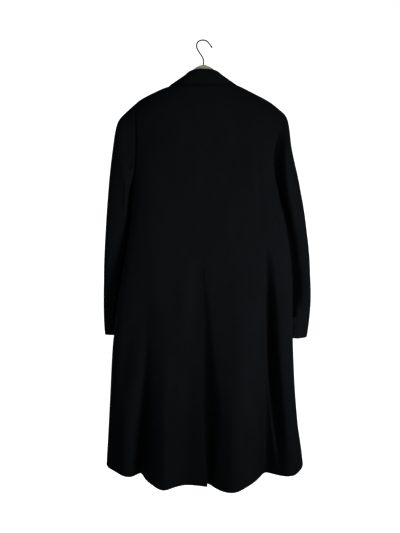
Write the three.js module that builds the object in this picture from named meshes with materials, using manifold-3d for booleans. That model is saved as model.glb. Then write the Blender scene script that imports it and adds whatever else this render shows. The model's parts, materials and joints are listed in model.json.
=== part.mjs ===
// A long single-breasted wool overcoat, hanging buttoned on a suit hanger.
//
// Millimetres, +Z up. The coat's front faces -Y, so +X is the wearer's left. The origin is the
// underside of the hook's bend, where the hanger hangs on a rail. Heights are written as drops:
// a drop of 500 is 500 mm below the rail. Each cut piece of cloth is a thin wall: a grid of
// points on the cloth's middle surface, given its thickness by wall().
import * as THREE from "three";
import Module from "manifold-3d";

// ---------------------------------------------------------------- driving dimensions
const CLOTH = 2; // wool with its lining, pressed
const SEAM = 0.3; // gap between two pieces that are sewn together
const SHOULDER_ROLL = 60; // drop over which the cloth turns over the shoulder
const NECK = { halfWidth: 82, back: 62, centreDrop: 134, sideDrop: 129 };
const UNDERARM_DROP = 442;
const VENT = { top: 668, hemDrop: 1278, underlap: 46, tuck: 4.2, recess: 28, reach: 46 };
const FRONT = { overlap: 22, breakDrop: 500, neckX: 76, neckDrop: 132, lift: 7.4 };
const LAPEL = { lift: 4.2, roll: 2.1, gorgeInner: [63, 168], gorgeOuter: [126, 224] };
const COLLAR = { rollRadius: 3.2, lift: 4.8 };
const BUTTON = { radius: 14, thickness: 4.4, drops: [520, 655, 790], holeRadius: 1.3, holeSpread: 3.2 };
const HANGER = { wireRadius: 1.8, capDrop: 70, clearance: 0.8 };
// Powers of the level curves: 2 is an ellipse, and more is flatter with a tighter turn.
const FRONT_POWER = 2.25; // of the body's front
const SLEEVE_POWER = { left: 3.2, right: 2.3, front: 2.3 }; // of each sleeve's back half, and of both front halves
const BACK_COLUMNS = 20;
const NECK_COLUMNS = 4;
const FRONT_COLUMNS = 13;
const ARMHOLE_STEPS = 10; // rows from the shoulder's tip to the underarm, on each face
const SKIRT_STEPS = 15; // rows from the underarm to the hem

// ---------------------------------------------------------------- tables of sizes
// The body's horizontal sections: half widths towards the wearer's left and right, depths of
// the back and the front from the hanger's plane, how far back the side seam lies, and the
// power of the back's curve.
const SECTIONS = [
  { drop: 120, left: 238, right: 262, back: 64, front: 60, seam: 0, power: 2.6 },
  { drop: 227, left: 234, right: 254, back: 78, front: 72, seam: 0, power: 2.9 },
  { drop: 320, left: 218, right: 234, back: 85, front: 80, seam: 0, power: 3.4 },
  { drop: 442, left: 207, right: 214, back: 86, front: 84, seam: 0, power: 3.8 },
  { drop: 490, left: 209, right: 226, back: 84, front: 84, seam: 6, power: 3.8 },
  { drop: 540, left: 212, right: 239, back: 82, front: 84, seam: 12, power: 3.7 },
  { drop: 620, left: 225, right: 252, back: 81, front: 83, seam: 20, power: 3.5 },
  { drop: 700, left: 238, right: 258, back: 84, front: 84, seam: 22, power: 3.3 },
  { drop: 800, left: 255, right: 258, back: 89, front: 87, seam: 22, power: 3.1 },
  { drop: 900, left: 263, right: 260, back: 95, front: 92, seam: 20, power: 2.9 },
  { drop: 1040, left: 270, right: 267, back: 104, front: 98, seam: 16, power: 2.6 },
  { drop: 1180, left: 278, right: 280, back: 113, front: 103, seam: 12, power: 2.4 },
  { drop: 1290, left: 285, right: 290, back: 119, front: 106, seam: 8, power: 2.3 },
];

// How far towards the wearer's left the vent's open edge lies.
const VENT_EDGE = [
  { drop: 640, x: 0 },
  { drop: 760, x: 2 },
  { drop: 880, x: 5 },
  { drop: 1000, x: 4.5 },
  { drop: 1100, x: 2 },
  { drop: 1170, x: -2.5 },
  { drop: 1225, x: -9 },
  { drop: 1290, x: -11 },
];

// The line of both shoulders, from the neck point out to the end of the sleeve head.
const SHOULDER = [
  { out: 82, drop: 129 },
  { out: 97, drop: 136 },
  { out: 124, drop: 147 },
  { out: 148, drop: 158 },
  { out: 172, drop: 169.5 },
  { out: 190, drop: 180 },
  { out: 204, drop: 191.5 },
  { out: 228, drop: 214.5 },
  { out: 252, drop: 239 },
];

// The armhole seam's distance from the middle, down its back and its front.
// share is 0 at the shoulder's tip and 1 at the underarm.
const ARMHOLE = {
  left: [
    { share: 0, back: 198, front: 198 },
    { share: 0.2, back: 195, front: 193 },
    { share: 0.45, back: 193, front: 187 },
    { share: 0.7, back: 194, front: 188 },
    { share: 0.88, back: 199, front: 196 },
    { share: 1, back: 207, front: 207 },
  ],
  right: [
    { share: 0, back: 240, front: 240 },
    { share: 0.2, back: 225, front: 220 },
    { share: 0.45, back: 207, front: 199 },
    { share: 0.7, back: 204, front: 198 },
    { share: 0.88, back: 208, front: 206 },
    { share: 1, back: 214, front: 214 },
  ],
};

// Long folds of the body. x runs from its first to its last value between the two drops; depth
// is inward at the hem, negative for a ridge; the two widths are the fold's slopes towards the
// wearer's right and left.
const FOLDS = {
  back: [
    { x: [-176, -200], from: 590, depth: 78, right: 32, left: 42, rise: 1.1 },
    { x: [-112, -80], from: 700, depth: -22, right: 32, left: 36, rise: 1.5 },
    { x: [158, 210], from: 690, depth: 74, right: 38, left: 58, rise: 1.5 },
    { x: [96, 110], from: 760, depth: -16, right: 20, left: 26, rise: 1.3 },
    { x: [40, 52], from: 760, depth: 15, right: 40, left: 26, rise: 1.2 },
    { x: [-244, -246], from: 640, depth: -9, right: 20, left: 18, rise: 1 },
    { x: [238, 242], from: 720, depth: -8, right: 18, left: 22, rise: 1 },
  ],
  front: [
    { x: [-150, -172], from: 620, depth: 34, right: 26, left: 34, rise: 1.1 },
    { x: [-96, -104], from: 700, depth: -12, right: 26, left: 26, rise: 1.2 },
    { x: [128, 150], from: 660, depth: 38, right: 34, left: 24, rise: 1.2 },
    { x: [84, 92], from: 760, depth: -12, right: 22, left: 26, rise: 1.2 },
    { x: [-226, -232], from: 700, depth: -8, right: 18, left: 18, rise: 1 },
    { x: [214, 222], from: 700, depth: -8, right: 18, left: 20, rise: 1 },
  ],
};

// The hem, round the back and the front.
const HEM = {
  back: [
    { x: -290, drop: 1240 },
    { x: -250, drop: 1260 },
    { x: -195, drop: 1263 },
    { x: -160, drop: 1266 },
    { x: -125, drop: 1276 },
    { x: -85, drop: 1288 },
    { x: -40, drop: 1287 },
    { x: -14, drop: 1277 },
    { x: 40, drop: 1275 },
    { x: 80, drop: 1278 },
    { x: 112, drop: 1285 },
    { x: 150, drop: 1272 },
    { x: 195, drop: 1263 },
    { x: 240, drop: 1265 },
    { x: 285, drop: 1242 },
  ],
  front: [
    { x: -290, drop: 1240 },
    { x: -240, drop: 1251 },
    { x: -120, drop: 1266 },
    { x: 0, drop: 1270 },
    { x: 120, drop: 1265 },
    { x: 240, drop: 1252 },
    { x: 285, drop: 1242 },
  ],
};

// The sleeves, ring by ring from just off the armhole to the cuff: the outermost and the
// innermost point of each ring, its half depth, how far forward it hangs, and how far its back
// edge leans away from the body.
const SLEEVE = {
  left: [
    { outer: 211, outerDrop: 197, inner: 212, innerDrop: 452, half: 59, forward: 1, lean: 0 },
    { outer: 230, outerDrop: 217, inner: 214, innerDrop: 461, half: 64, forward: 4, lean: 0.5 },
    { outer: 246, outerDrop: 236, inner: 214, innerDrop: 469, half: 69, forward: 8, lean: 1.5 },
    { outer: 253, outerDrop: 263, inner: 213, innerDrop: 478, half: 72, forward: 12, lean: 2.5 },
    { outer: 258, outerDrop: 297, inner: 212, innerDrop: 489, half: 73, forward: 17, lean: 3 },
    { outer: 263, outerDrop: 337, inner: 211, innerDrop: 503, half: 74, forward: 22, lean: 4 },
    { outer: 269, outerDrop: 385, inner: 210, innerDrop: 520, half: 74, forward: 27, lean: 5 },
    { outer: 274, outerDrop: 440, inner: 210, innerDrop: 543, half: 73, forward: 32, lean: 6 },
    { outer: 279, outerDrop: 500, inner: 213, innerDrop: 574, half: 71, forward: 37, lean: 7 },
    { outer: 283, outerDrop: 560, inner: 218, innerDrop: 612, half: 69, forward: 42, lean: 8 },
    { outer: 287, outerDrop: 620, inner: 224, innerDrop: 657, half: 66, forward: 47, lean: 9 },
    { outer: 290, outerDrop: 682, inner: 230, innerDrop: 706, half: 63, forward: 52, lean: 10 },
    { outer: 292, outerDrop: 742, inner: 236, innerDrop: 757, half: 60, forward: 57, lean: 10 },
    { outer: 293, outerDrop: 800, inner: 242, innerDrop: 807, half: 57, forward: 61, lean: 9 },
    { outer: 293, outerDrop: 842, inner: 246, innerDrop: 846, half: 55, forward: 64, lean: 7 },
    { outer: 292, outerDrop: 866, inner: 248, innerDrop: 868, half: 54, forward: 65, lean: 5 },
  ],
  right: [
    { outer: 244, outerDrop: 233, inner: 219, innerDrop: 452, half: 59, forward: 3, lean: 0 },
    { outer: 248, outerDrop: 243, inner: 222, innerDrop: 461, half: 64, forward: 8, lean: 1 },
    { outer: 251, outerDrop: 260, inner: 225, innerDrop: 469, half: 68, forward: 12, lean: 2 },
    { outer: 254, outerDrop: 295, inner: 228, innerDrop: 478, half: 71, forward: 16, lean: 2 },
    { outer: 260, outerDrop: 333, inner: 232, innerDrop: 489, half: 73, forward: 20, lean: 3 },
    { outer: 269, outerDrop: 370, inner: 236, innerDrop: 503, half: 74, forward: 25, lean: 3 },
    { outer: 279, outerDrop: 410, inner: 240, innerDrop: 520, half: 74, forward: 30, lean: 4 },
    { outer: 288, outerDrop: 455, inner: 244, innerDrop: 545, half: 73, forward: 35, lean: 4 },
    { outer: 296, outerDrop: 505, inner: 248, innerDrop: 578, half: 71, forward: 40, lean: 5 },
    { outer: 301, outerDrop: 556, inner: 253, innerDrop: 617, half: 69, forward: 45, lean: 6 },
    { outer: 306, outerDrop: 612, inner: 257, innerDrop: 660, half: 66, forward: 49, lean: 9 },
    { outer: 309, outerDrop: 670, inner: 260, innerDrop: 707, half: 63, forward: 52, lean: 14 },
    { outer: 311, outerDrop: 730, inner: 262, innerDrop: 757, half: 60, forward: 54, lean: 17 },
    { outer: 319, outerDrop: 788, inner: 262, innerDrop: 806, half: 58, forward: 55, lean: 0 },
    { outer: 312, outerDrop: 840, inner: 262, innerDrop: 846, half: 56, forward: 55, lean: -14 },
    { outer: 303, outerDrop: 877, inner: 262, innerDrop: 869, half: 55, forward: 54, lean: -18 },
  ],
};

// Half of the collar, from its centre back to its front end on the wearer's left: where it is
// sewn to the neck, where it rolls over, and where its fall ends. The fall lies over the
// shoulder: turn is how far round the shoulder's roll its edge lies, in degrees, back positive.
const COLLAR_STATIONS = [
  { neck: [0, 60, 132], roll: [0, 50, 97], edge: [0, 142.5], face: "back", lift: 4 },
  { neck: [26, 57, 131], roll: [16, 49, 97], edge: [32, 143], face: "back", lift: 4.2 },
  { neck: [50, 46, 129.5], roll: [31, 42, 98], edge: [61, 144], face: "back", lift: 4.8 },
  { neck: [68, 29, 128], roll: [43, 28, 101.5], edge: [84, 141], face: "back", lift: 5 },
  { neck: [76, 8, 127], roll: [52, 8, 107.5], edge: [96, 136.4], face: "back", lift: 4.6 },
  { neck: [74, -12, 130], roll: [57, -13, 117], edge: [103, 141.5], face: "front", lift: 5 },
  { neck: [69, -32, 137], roll: [59, -35, 128], edge: [111, 156], face: "front", lift: 4.8 },
  { neck: [64, -46, 147], roll: [58, -51, 141], edge: [118, 175], face: "front", lift: 4.8 },
];
// The collar's front end: distances out and drops along the gorge seam, then out to the tip.
const COLLAR_END = [
  [63, 159],
  [79, 177],
  [96, 194],
  [121, 190],
];

// The hanger's arm from its middle to its end: height and depth of each section, and its top
// where it stands clear of the coat. The other sections lie just beneath the shoulder seam.
const ARM_SECTIONS = [
  { out: 0, top: 70, height: 54, depth: 14 },
  { out: 18, top: 74, height: 54, depth: 14 },
  { out: 33, top: 84, height: 52, depth: 13.5 },
  { out: 41, top: 102, height: 40, depth: 13 },
  { out: 50, top: 119, height: 30, depth: 12.5 },
  { out: 62, top: 130, height: 26, depth: 12.5 },
  { out: 78, top: 134.5, height: 25, depth: 12.5 },
  { out: 97, height: 25, depth: 13 },
  { out: 124, height: 25, depth: 13.5 },
  { out: 148, height: 25, depth: 13.5 },
  { out: 172, height: 24, depth: 13 },
  { out: 186, top: 181.5, height: 20, depth: 11.5 },
  { out: 198, top: 192, height: 14, depth: 9 },
  { out: 206, top: 201, height: 6, depth: 5 },
];

// The hook's wire: distance towards the wearer's left, and height above the rail's top.
const HOOK_PATH = [
  [0, -78],
  [0, -62],
  [1.5, -52],
  [8, -41],
  [15, -30],
  [20, -18],
  [18.5, -6.5],
  [11, 0],
  [0, HANGER.wireRadius],
  [-10, -1.5],
  [-17, -9],
  [-22, -17],
  [-26.5, -22],
];

// ---------------------------------------------------------------- small helpers
const { PI, abs, cos, hypot, max, min, sin, sqrt } = Math;
const mix = (a, b, t) => a + (b - a) * t;
const clamp01 = (t) => min(1, max(0, t));
const ease = (t) => clamp01(t) ** 2 * (3 - 2 * clamp01(t));
const steps = (n) => Array.from({ length: n + 1 }, (_, i) => i / n);

// The value of a table's column at a place, on a smooth curve through the rows.
function sample(table, key, column, at) {
  let i = 0;
  while (i < table.length - 2 && table[i + 1][key] < at) i += 1;
  const rows = [table[max(0, i - 1)], table[i], table[i + 1], table[min(table.length - 1, i + 2)]];
  const [k0, k1, k2, k3] = rows.map((row) => row[key]);
  const [v0, v1, v2, v3] = rows.map((row) => row[column]);
  const t = clamp01((at - k1) / (k2 - k1));
  const span = k2 - k1;
  const slope1 = k2 > k0 ? ((v2 - v0) / (k2 - k0)) * span : 0;
  const slope2 = k3 > k1 ? ((v3 - v1) / (k3 - k1)) * span : 0;
  const t2 = t * t;
  const t3 = t2 * t;
  return (
    (2 * t3 - 3 * t2 + 1) * v1 + (t3 - 2 * t2 + t) * slope1 + (3 * t2 - 2 * t3) * v2 + (t3 - t2) * slope2
  );
}

// ---------------------------------------------------------------- the body's form
const sideOf = (x) => (x >= 0 ? "left" : "right");
const shoulderDrop = (x) => sample(SHOULDER, "out", "drop", abs(x));

function topDrop(x) {
  const out = abs(x);
  if (out >= NECK.halfWidth) return shoulderDrop(out);
  return mix(NECK.centreDrop, NECK.sideDrop, (out / NECK.halfWidth) ** 2);
}

function topDepth(face, x) {
  const across = abs(x) / NECK.halfWidth;
  return face === "back" && across < 1 ? NECK.back * sqrt(1 - across ** 2) : 0;
}

// How far all the folds of a face push its cloth inwards.
function foldDepth(face, x, drop) {
  const hem = sample(HEM[face], "x", "drop", x);
  return FOLDS[face].reduce((sum, fold) => {
    const along = clamp01((drop - fold.from) / (hem - fold.from));
    const away = x - mix(fold.x[0], fold.x[1], along);
    const width = (away < 0 ? fold.right : fold.left) * mix(0.6, 1, along);
    return sum + fold.depth * along ** fold.rise * Math.exp(-((away / width) ** 2));
  }, 0);
}

// A point of the body's cloth on one face, moved out along its level normal by lift.
function bodyPoint(face, x, drop, lift = 0) {
  const facing = face === "back" ? 1 : -1;
  const power = face === "back" ? sample(SECTIONS, "drop", "power", drop) : FRONT_POWER;
  const halfWidth = sample(SECTIONS, "drop", sideOf(x), drop);
  const seam = sample(SECTIONS, "drop", "seam", drop);
  const depth = sample(SECTIONS, "drop", face, drop) - facing * seam;
  const across = min(1, abs(x) / halfWidth);
  const round = (1 - across ** power) ** (1 / power);
  const fallen = clamp01((drop - topDrop(x)) / SHOULDER_ROLL);
  const turned = sqrt(1 - (1 - fallen) ** 2);
  const full = seam + facing * depth * round;
  const top = facing * topDepth(face, x);
  const normal = new THREE.Vector2(
    (Math.sign(x) * across ** (power - 1)) / halfWidth,
    (facing * round ** (power - 1)) / depth,
  ).normalize();
  const edgeFade = 1 - across ** 14;
  const out = lift - foldDepth(face, x, drop) * edgeFade;
  return new THREE.Vector3(x + normal.x * out, mix(top, full, turned) + normal.y * out, -drop);
}

// A point laid on the body's cloth, lift away from it square to its surface.
function laidPoint(face, x, drop, lift, under = () => 0) {
  const at = (dx, down) => bodyPoint(face, x + dx, drop + down, under(x + dx, drop + down));
  const across = at(1.5, 0).sub(at(-1.5, 0));
  const down = at(0, 1.5).sub(at(0, 0));
  const normal = across.cross(down).setLength(face === "back" ? 1 : -1);
  return at(0, 0).addScaledVector(normal, lift);
}

// The armhole seam: turn is 0 at the shoulder's tip, PI at the underarm, and goes down the back.
function armholePoint(side, turn) {
  const face = turn <= PI ? "back" : "front";
  const share = (1 - cos(turn)) / 2;
  const out = sample(ARMHOLE[side], "share", face, share);
  const tipDrop = shoulderDrop(ARMHOLE[side][0].back);
  const x = side === "left" ? out : -out;
  return bodyPoint(face, x, mix(tipDrop, UNDERARM_DROP, share));
}

// ---------------------------------------------------------------- cloth walls
// Moves the outer rows or columns of a grid in, square to the edge, by these distances.
function trimmed(grid, { top = 0, bottom = 0, first = 0, last = 0 }) {
  const rows = grid.length - 1;
  const columns = grid[0].length - 1;
  const made = grid.map((row) => row.map((point) => point.clone()));
  const pull = (i, j, inner, before, after, distance) => {
    const edge = after.clone().sub(before).normalize();
    const inward = inner.clone().sub(grid[i][j]);
    made[i][j].add(inward.addScaledVector(edge, -inward.dot(edge)).setLength(distance));
  };
  for (let i = 0; i <= rows; i += 1) {
    const [above, below] = [grid[max(0, i - 1)], grid[min(rows, i + 1)]];
    pull(i, 0, grid[i][1], above[0], below[0], first);
    pull(i, columns, grid[i][columns - 1], above[columns], below[columns], last);
  }
  for (let j = 0; j <= columns; j += 1) {
    const [left, right] = [max(0, j - 1), min(columns, j + 1)];
    pull(0, j, grid[1][j], grid[0][left], grid[0][right], top);
    pull(rows, j, grid[rows - 1][j], grid[rows][left], grid[rows][right], bottom);
  }
  return made;
}

// A closed wall about a grid of points. outward is 1 where rows down and columns across give
// the outer side by the right-hand rule, else -1. keep says which cells are cloth.
function wall(grid, outward, keep = () => true, thickness = CLOTH) {
  const rows = grid.length - 1;
  const columns = grid[0].length - 1;
  const kept = (i, j) => i >= 0 && j >= 0 && i < rows && j < columns && keep(i, j);
  const positions = [];
  const triangles = [];
  const numbered = new Map();
  const normalAt = (i, j) => {
    const sum = new THREE.Vector3();
    for (const [di, dj] of [[-1, -1], [-1, 0], [0, -1], [0, 0]]) {
      if (!kept(i + di, j + dj)) continue;
      const [a, b] = [grid[i + di][j + dj], grid[i + di + 1][j + dj + 1]];
      const [c, d] = [grid[i + di + 1][j + dj], grid[i + di][j + dj + 1]];
      sum.add(b.clone().sub(a).cross(d.clone().sub(c)).normalize());
    }
    return sum.setLength(outward * 0.5 * thickness);
  };
  const corner = (i, j, layer) => {
    const key = `${i},${j},${layer}`;
    if (!numbered.has(key)) {
      numbered.set(key, numbered.size);
      positions.push(...grid[i][j].clone().addScaledVector(normalAt(i, j), layer).toArray());
    }
    return numbered.get(key);
  };
  const quad = (a, b, c, d) => {
    const turned = outward > 0 ? [a, b, c, a, c, d] : [a, c, b, a, d, c];
    triangles.push(...turned);
  };
  for (let i = 0; i < rows; i += 1) {
    for (let j = 0; j < columns; j += 1) {
      if (!kept(i, j)) continue;
      const ring = [[i, j], [i + 1, j], [i + 1, j + 1], [i, j + 1]];
      quad(...ring.map(([r, c]) => corner(r, c, 1)));
      quad(...ring.map(([r, c]) => corner(r, c, -1)).reverse());
      const beyond = [[i, j - 1], [i + 1, j], [i, j + 1], [i - 1, j]];
      beyond.forEach(([r, c], side) => {
        if (kept(r, c)) return;
        const [a, b] = [ring[side], ring[(side + 1) % 4]];
        quad(corner(...b, 1), corner(...a, 1), corner(...a, -1), corner(...b, -1));
      });
    }
  }
  const geometry = new THREE.BufferGeometry();
  geometry.setAttribute("position", new THREE.Float32BufferAttribute(positions, 3));
  geometry.setIndex(triangles);
  geometry.computeVertexNormals();
  return geometry;
}

// ---------------------------------------------------------------- back and front panels
// Drops of a panel's rows at its side: down the armhole, then down the side seam.
function sideDrops(side) {
  const tip = shoulderDrop(ARMHOLE[side][0].back);
  const hem = sample(HEM.back, "x", "drop", (side === "left" ? 1 : -1) * SECTIONS.at(-1)[side]);
  const armhole = steps(ARMHOLE_STEPS).map((t) => mix(tip, UNDERARM_DROP, (1 - cos(PI * t)) / 2));
  const skirt = steps(SKIRT_STEPS).slice(1).map((t) => mix(UNDERARM_DROP, hem, t));
  return { drops: [...armhole, ...skirt], tip, hem };
}

// A panel's grid: inner(row) is how far out its inner edge lies, and spread its columns there.
function panelGrid(face, side, spread, innerAt, liftAt) {
  const sign = side === "left" ? 1 : -1;
  const { drops, tip, hem } = sideDrops(side);
  const topOuter = ARMHOLE[side][0].back;
  return drops.map((sideDrop, row) => {
    const share = (sideDrop - tip) / (hem - tip);
    const overArm = min(1, row / ARMHOLE_STEPS);
    const armShare = (1 - cos(PI * overArm)) / 2;
    const outer =
      row <= ARMHOLE_STEPS
        ? sample(ARMHOLE[side], "share", face, armShare)
        : sample(SECTIONS, "drop", side, sideDrop);
    return spread.map(({ top, low }) => {
      const placed = mix(top, low, ease(overArm));
      let x = 0;
      let drop = sideDrop;
      // The row's drop depends on x and the inner edge on the drop, so both settle in turns.
      for (let turn = 0; turn < 6; turn += 1) {
        const inner = innerAt(drop, topOuter);
        x = sign * mix(inner, outer, placed);
        drop = mix(topDrop(x), sample(HEM[face], "x", "drop", x), share);
        if (placed === 1) drop = sideDrop;
      }
      return bodyPoint(face, x, drop, liftAt(x, drop));
    });
  });
}

const PANEL_TRIM = { top: 0.45, first: 0.25, last: 0.75 }; // room at the seams, whose walls meet at an angle
const gathered = (t, power) => 1 - (1 - t) ** power; // columns closer together towards the side

function backSpread(side) {
  const outer = ARMHOLE[side][0].back;
  return steps(BACK_COLUMNS).map((t, j) => {
    const neck = NECK.halfWidth * sin(((PI / 2) * j) / NECK_COLUMNS);
    const beyond = (j - NECK_COLUMNS) / (BACK_COLUMNS - NECK_COLUMNS);
    const top = j <= NECK_COLUMNS ? neck : mix(NECK.halfWidth, outer, beyond);
    return { top: top / outer, low: gathered(t, 1.45) };
  });
}

const ventShare = (drop) => clamp01((drop - VENT.top) / (VENT.hemDrop - VENT.top));
const ventRows = (side) => sideDrops(side).drops.map((drop, row, all) => ({ drop, next: all[row + 1] }));

// How far the right back turns in beside the vent, and its underlap behind the left back.
function ventTuck(x, drop) {
  if (drop < VENT.top) return 0;
  const opened = VENT.tuck * ease((drop - VENT.top) / 34);
  return (opened + VENT.recess * ventShare(drop) ** 1.2) * Math.exp(-((min(0, x) / VENT.reach) ** 2));
}

function backLeft() {
  const edge = (drop) => sample(VENT_EDGE, "drop", "x", drop);
  const grid = panelGrid("back", "left", backSpread("left"), edge, () => 0);
  return wall(trimmed(grid, PANEL_TRIM), 1);
}

function backRight() {
  const grid = panelGrid("back", "right", backSpread("right"), () => 0, (x, drop) => -ventTuck(x, drop));
  const shaped = trimmed(grid, PANEL_TRIM);
  const widened = shaped.map((row) => {
    const lap = [1, 0.5].map((t) => {
      const drop = -row[0].z;
      return bodyPoint("back", t * VENT.underlap, drop, -ventTuck(0, drop));
    });
    return [...lap, ...row];
  });
  const firstRow = shaped.findIndex((row) => -row[0].z > VENT.top + 30);
  return wall(widened, -1, (i, j) => j >= 2 || i >= firstRow);
}

// How far from the middle the front's inner edge lies: the roll line, then the overlap.
function frontEdge(drop) {
  const up = clamp01((FRONT.breakDrop - drop) / (FRONT.breakDrop - FRONT.neckDrop));
  return mix(-FRONT.overlap, FRONT.neckX, up);
}
const leftLift = (x, drop) => FRONT.lift * (1 - ease((x - 24) / 80)) * ease((drop - 190) / 150);

function frontPanel(side) {
  const spread = steps(FRONT_COLUMNS).map((t) => ({ top: t, low: gathered(t, 1.35) }));
  const lift = side === "left" ? leftLift : () => 0;
  const grid = panelGrid("front", side, spread, frontEdge, lift);
  return wall(trimmed(grid, PANEL_TRIM), side === "left" ? -1 : 1);
}

// ---------------------------------------------------------------- lapels
// A lapel folds out at the roll line and lies on its front, up to the gorge seam.
function lapel(side) {
  const sign = side === "left" ? 1 : -1;
  const base = (x, drop) => (side === "left" ? leftLift(x, drop) : 0);
  const belly = 14; // how far the lapel's edge bows out
  const start = FRONT.breakDrop - 6;
  const [innerX, innerDrop] = LAPEL.gorgeInner;
  const [outerX, outerDrop] = LAPEL.gorgeOuter;
  const across = [0.12, 0.34, 0.56, 0.78, 1];
  const grid = steps(12).map((t) => {
    const rollDrop = mix(start, innerDrop, t);
    const rollX = mix(frontEdge(start), innerX, t);
    const edgeDrop = mix(start - 1, outerDrop, t);
    const edgeX = mix(frontEdge(start) + 7, outerX, t ** 0.94) + belly * sin(PI * t) * (1 - 0.4 * t);
    const at = (x, drop, lift) => laidPoint("front", sign * x, drop, lift, base);
    const turned = [0, 0.25, 0.5, 0.75, 1].map((turn) => {
      const beyond = LAPEL.roll * sin(PI * turn);
      return at(rollX - 0.6 - beyond, rollDrop, LAPEL.roll * (1 - cos(PI * turn)));
    });
    const laid = across.map((s) => {
      const settle = mix(LAPEL.lift, LAPEL.lift - 0.9, s);
      return at(mix(rollX, edgeX, s), mix(rollDrop, edgeDrop, s), settle);
    });
    return [...turned, ...laid];
  });
  return wall(grid, side === "left" ? 1 : -1);
}

// ---------------------------------------------------------------- collar
// One section of the collar: up its stand, round its roll, and down its fall.
function collarSection({ neck, roll, edge, face, lift }, sign, ending) {
  const [foot, crest] = [neck, roll].map(([x, y, drop]) => new THREE.Vector3(sign * x, y, -drop));
  const hang = laidPoint(face, sign * edge[0], edge[1], lift);
  const fallDirection = hang.clone().sub(crest).setZ(0).normalize();
  const radius = ending ? 2 : COLLAR.rollRadius;
  const stand = [0, 0.5].map((t) => foot.clone().lerp(crest.clone().setZ(crest.z - radius), t));
  const over = [0, 0.25, 0.5, 0.75, 1].map((t) => {
    const reach = radius * (1 - cos(PI * t));
    return crest.clone().addScaledVector(fallDirection, reach).setZ(crest.z - radius * (1 - sin(PI * t)));
  });
  const fallTop = over.at(-1);
  const fall = [1 / 3, 2 / 3, 1].map((t, k) => {
    if (!ending) {
      const bow = 2.2 * sin(PI * t);
      return fallTop.clone().lerp(hang, t).addScaledVector(fallDirection, bow);
    }
    const [x, drop] = COLLAR_END[k + 1];
    return laidPoint("front", sign * x, drop, lift);
  });
  return [...stand, ...over, ...fall];
}

function collar() {
  const [x, drop] = COLLAR_END[0];
  const { y } = laidPoint("front", x, drop, COLLAR.lift);
  const end = {
    neck: [x - 4, y + 3, drop],
    roll: [x - 3, y, drop - 3],
    edge: [x, drop],
    face: "front",
    lift: COLLAR.lift,
  };
  const half = (sign) => [
    ...COLLAR_STATIONS.map((station) => collarSection(station, sign)),
    collarSection(end, sign, true),
  ];
  return wall([...half(-1).slice(1).reverse(), ...half(1)], 1);
}

// ---------------------------------------------------------------- sleeves
const SLEEVE_FROM = { top: -6, under: 6 }; // first column of each piece, in steps of the ring
const SLEEVE_CELLS = { top: 12, under: 8 };
const UNDERARM_ROOM = { left: 2.5, right: -2.7 }; // the seam's walls meet at a sharp angle there

function ringPoint(side, ring, turn) {
  const sign = side === "left" ? 1 : -1;
  const outer = new THREE.Vector3(sign * ring.outer, -ring.forward, -ring.outerDrop);
  const inner = new THREE.Vector3(sign * ring.inner, -ring.forward, -ring.innerDrop);
  const power = sin(turn) > 0 ? SLEEVE_POWER[side] : SLEEVE_POWER.front;
  const rounded = (v) => Math.sign(v) * abs(v) ** (2 / power);
  const point = outer.clone().lerp(inner, (1 - rounded(cos(turn))) / 2);
  const behind = rounded(sin(turn));
  return point.add(new THREE.Vector3(sign * ring.lean * behind, ring.half * behind, 0));
}

function sleeve(side, piece) {
  const turns = steps(SLEEVE_CELLS[piece]).map(
    (t) => ((SLEEVE_FROM[piece] + t * SLEEVE_CELLS[piece]) * PI) / ARMHOLE_STEPS,
  );
  const positive = (turn) => (turn + 2 * PI) % (2 * PI);
  const clear = (turn) => UNDERARM_ROOM[side] * ease((1 - cos(turn)) / 2);
  const sewn = turns.map((turn) => {
    const point = armholePoint(side, positive(turn));
    return point.setX(point.x + clear(turn));
  });
  const settled = [0.5, 0.82, 1]; // how soon the rings leave the armhole's own outline
  const rings = SLEEVE[side].map((ring, k) =>
    turns.map((turn, j) => {
      const free = ringPoint(side, ring, turn);
      const follow = settled[k] ?? 1;
      const drift = ringPoint(side, ring, 0).sub(armholePoint(side, 0));
      const carried = sewn[j].clone().add(drift.multiplyScalar(0.5 + 0.5 * cos(turn)));
      return carried.lerp(free, follow);
    }),
  );
  const grid = trimmed([sewn, ...rings], { top: 1.3, first: 0.6, last: 0.6 });
  return wall(grid, side === "left" ? 1 : -1);
}

// ---------------------------------------------------------------- buttons
function buttonGeometry() {
  const { radius: size, thickness, holeRadius, holeSpread } = BUTTON;
  const bevel = 0.8;
  const disc = new THREE.Shape().absarc(0, 0, size - bevel, 0, 2 * PI);
  for (const [sx, sy] of [[1, 1], [-1, 1], [-1, -1], [1, -1]]) {
    const rim = Array.from({ length: 8 }, (_, k) => {
      const turn = (-2 * PI * k) / 8;
      const radius = holeRadius + bevel;
      return new THREE.Vector2(sx * holeSpread + radius * cos(turn), sy * holeSpread + radius * sin(turn));
    });
    disc.holes.push(new THREE.Path(rim));
  }
  return new THREE.ExtrudeGeometry(disc, {
    depth: thickness - 2 * bevel,
    bevelThickness: bevel,
    bevelSize: bevel,
    bevelSegments: 1,
    curveSegments: 9,
  }).translate(0, 0, bevel);
}

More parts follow.
